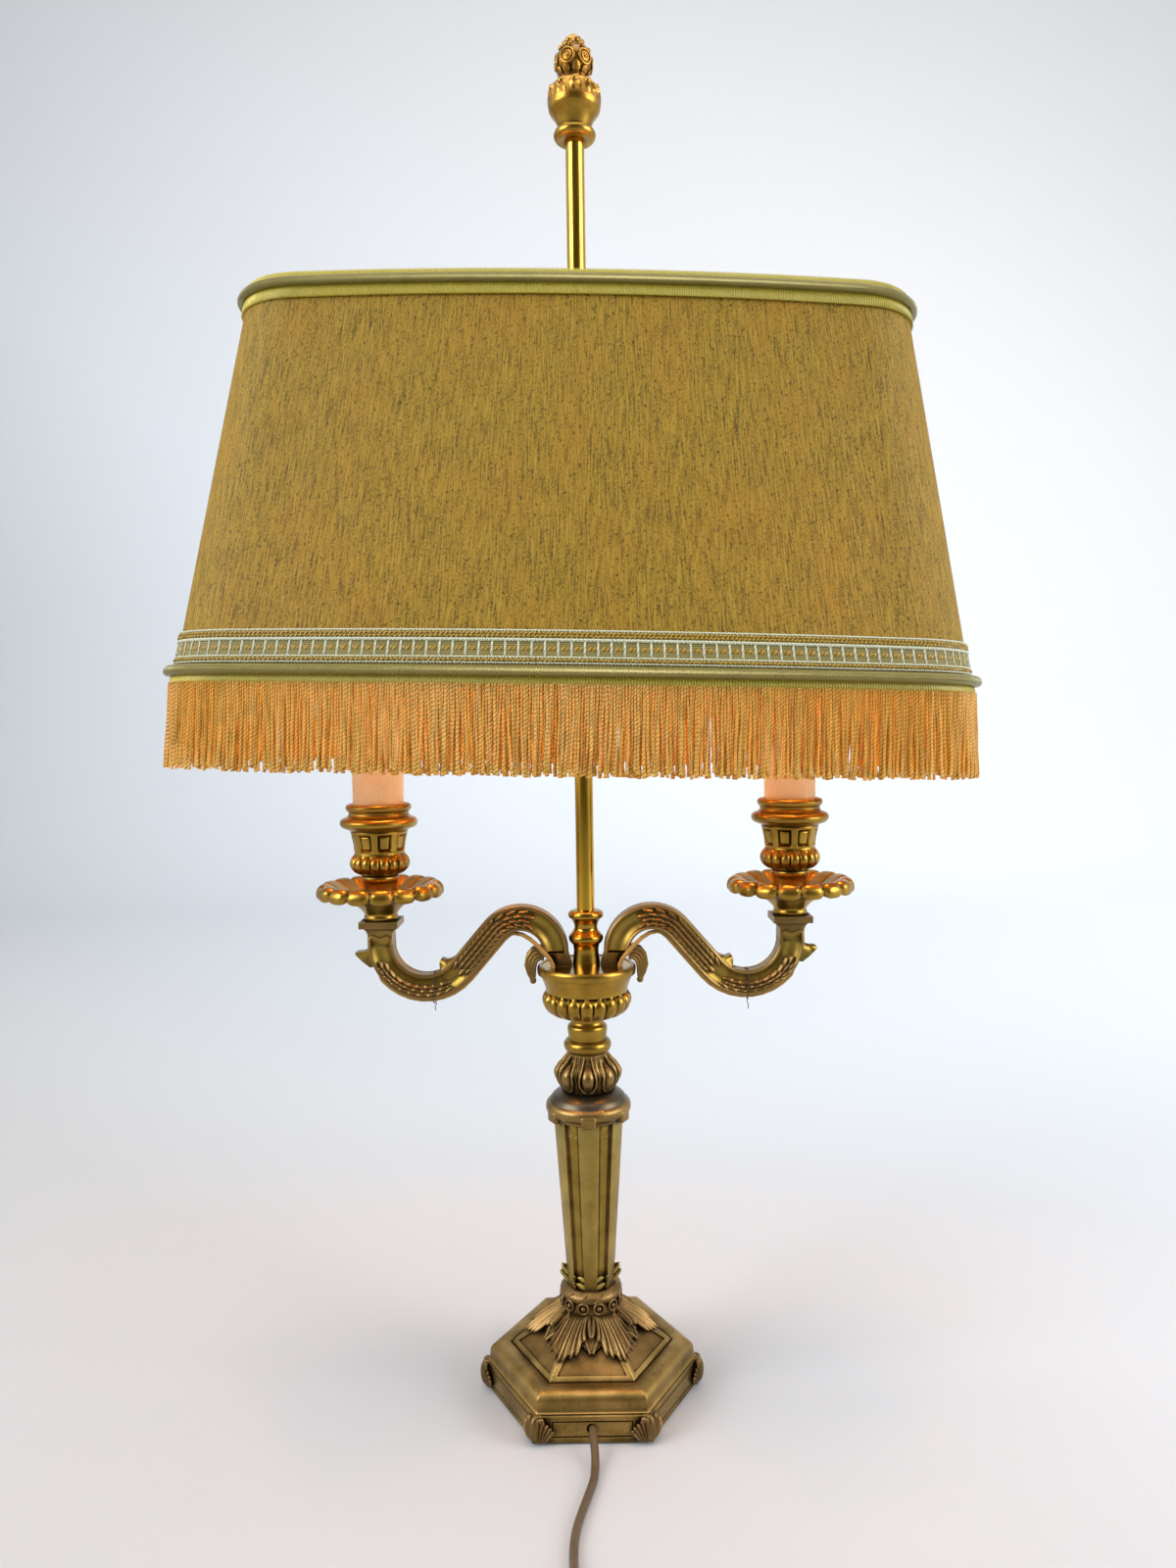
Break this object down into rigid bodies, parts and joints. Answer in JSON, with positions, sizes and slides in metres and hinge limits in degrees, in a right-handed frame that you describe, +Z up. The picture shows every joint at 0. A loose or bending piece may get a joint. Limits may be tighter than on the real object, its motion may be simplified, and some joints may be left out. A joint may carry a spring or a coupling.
{
  "type": "table lamp",
  "caption": "Candelabra table lamp: hexagonal gilt base, tapered column, scrolled candle arms, and a long oval fringed cloth shade on a brass stem with a finial.",
  "frame": {"origin": "centre of the felt under the base, on the lamp's upright axis", "axes": "+Z up along the stem, +X along the arms to the picture's right, -Y towards the camera"},
  "size_m": [0.446, 0.3791, 0.7415],
  "materials": {
    "felt": "matte",
    "steel": "zinc plated",
    "gilt": "worn gilding over dark patina",
    "dark_bronze": "dark patina",
    "brass": "aged polish",
    "sleeve": "ivory matte",
    "bakelite": "gloss",
    "contact": "plain",
    "bulb_cap": "plain",
    "bulb_glass": "clear warm",
    "wire": "gold braid",
    "white_wire": "white coating",
    "silk": "slub silk",
    "gimp": "woven gimp",
    "braid": "woven braid",
    "rope": "satin twist",
    "fringe": "twisted cords",
    "cord": "satin brown",
    "switch": "satin brown",
    "rocker": "satin ivory",
    "pin_metal": "nickel plated"
  },
  "bodies": {
    "stand": {"felt_pad": "felt", "base_plate": "steel", "base_cover": "gilt", "corner_ornaments": "gilt", "leaf_collar": "gilt", "column": "gilt", "capital": "dark_bronze", "knop": "gilt", "neck_ring": "brass", "urn_cup": "gilt", "cup_disc": "brass", "tie_tube": "steel", "tie_nuts": "steel", "stem_collar": "brass", "stem_tube": "brass", "arm_left": "gilt", "arm_right": "gilt", "arm_screws": "steel", "drip_pan_left": "gilt", "drip_pan_right": "gilt", "candle_cup_left": "gilt", "candle_cup_right": "gilt", "sleeve_left": "sleeve", "sleeve_right": "sleeve", "nipple_left": "steel", "nipple_right": "steel", "cup_nuts": "steel", "lampholder_left": "bakelite", "lampholder_right": "bakelite", "holder_contacts": "contact", "arm_wire_left": "wire", "arm_wire_right": "wire", "inner_leads": "cord", "splice_caps": "bakelite", "terminal_block": "bakelite", "cord_lead": "cord", "switch_body": "switch", "cord_link": "cord", "cord_coil": "cord", "cord_end": "cord", "plug_body": "switch", "plug_pins": "pin_metal"},
    "carrier": {"shade_carrier": "brass"},
    "shade": {"shade_spider": "white_wire", "shade_wires": "white_wire", "shade_cloth": "silk", "top_trim": "gimp", "bottom_braid": "braid", "bottom_rope": "rope", "fringe": "fringe"},
    "ring_nut": {"ring_nut": "brass"},
    "clamp_screw": {"clamp_screw": "brass"},
    "finial": {"finial_ring": "brass", "finial_body": "gilt"},
    "bulb_left": {"bulb_cap_left": "bulb_cap", "bulb_glass_left": "bulb_glass"},
    "bulb_right": {"bulb_cap_right": "bulb_cap", "bulb_glass_right": "bulb_glass"},
    "rocker": {"switch_rocker": "rocker"}
  },
  "joints": [
    {"name": "shade_height", "type": "slide", "parent": "stand", "child": "carrier", "axis": [0, 0, 1], "range_m": [-0.06, 0.07]},
    {"name": "shade_swivel", "type": "hinge", "parent": "carrier", "child": "shade", "pos_m": [0, 0, 0.587], "axis": [0, 0, 1], "range_deg": [-12, 12]},
    {"name": "ring_nut_turn", "type": "hinge", "parent": "carrier", "child": "ring_nut", "pos_m": [0, 0, 0.59], "axis": [0, 0, 1], "range_deg": [0, 720]},
    {"name": "clamp_screw_turn", "type": "hinge", "parent": "carrier", "child": "clamp_screw", "pos_m": [0, 0.012, 0.5787], "axis": [0, 1, 0], "range_deg": [0, 720]},
    {"name": "finial_turn", "type": "hinge", "parent": "stand", "child": "finial", "pos_m": [0, 0, 0.69], "axis": [0, 0, 1], "range_deg": [0, 1080]},
    {"name": "bulb_left_turn", "type": "hinge", "parent": "stand", "child": "bulb_left", "pos_m": [-0.1138, 0, 0.41], "axis": [0, 0, 1], "range_deg": [0, 1080]},
    {"name": "bulb_right_turn", "type": "hinge", "parent": "stand", "child": "bulb_right", "pos_m": [0.1138, 0, 0.41], "axis": [0, 0, 1], "range_deg": [0, 1080]},
    {"name": "switch_rock", "type": "hinge", "parent": "stand", "child": "rocker", "pos_m": [-0.008, -0.194, 0.0124], "axis": [1, 0, 0], "range_deg": [0, 12]}
  ]
}
